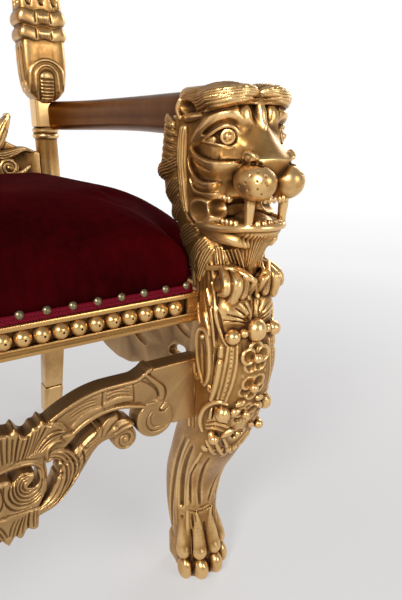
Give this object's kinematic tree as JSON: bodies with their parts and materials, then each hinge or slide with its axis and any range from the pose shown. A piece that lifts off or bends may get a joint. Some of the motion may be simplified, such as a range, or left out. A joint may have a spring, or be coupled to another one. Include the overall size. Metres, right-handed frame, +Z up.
{
  "type": "throne",
  "caption": "High-backed carved and gilded armchair with lion front legs, pierced scroll aprons, turned rear columns and a domed velvet seat.",
  "frame": {"origin": "on the floor, under the middle of the bounding box", "axes": "+Z up, -Y the way the sitter faces, +X the chair's own left side"},
  "size_m": [0.714, 0.7875, 1.7879],
  "materials": {
    "gilded_wood": "carved hardwood with satin gold leaf paint, darker in the hollows",
    "gilded_arm": "smooth hardwood with satin gold paint, deeper tone",
    "burgundy_velvet": "cut pile velvet, dark burgundy",
    "burgundy_backing": "plain woven backing cloth, burgundy",
    "crimson_gimp": "woven crimson braid",
    "antique_nails": "domed upholstery nails, antiqued brass"
  },
  "bodies": {
    "root": {"lion_post_left": "gilded_wood", "lion_post_right": "gilded_wood", "rear_post_left": "gilded_wood", "rear_post_right": "gilded_wood", "arm_left": "gilded_arm", "arm_right": "gilded_arm", "seat_rail_front": "gilded_wood", "seat_rail_left": "gilded_wood", "seat_rail_right": "gilded_wood", "seat_rail_rear": "gilded_wood", "front_apron": "gilded_wood", "side_apron_left": "gilded_wood", "side_apron_right": "gilded_wood", "seat_cushion": "burgundy_velvet", "seat_gimp": "crimson_gimp", "back_frame": "gilded_wood", "back_pad": "burgundy_velvet", "back_cover": "burgundy_backing", "back_lower_rail": "gilded_wood", "crest": "gilded_wood"}
  },
  "joints": []
}
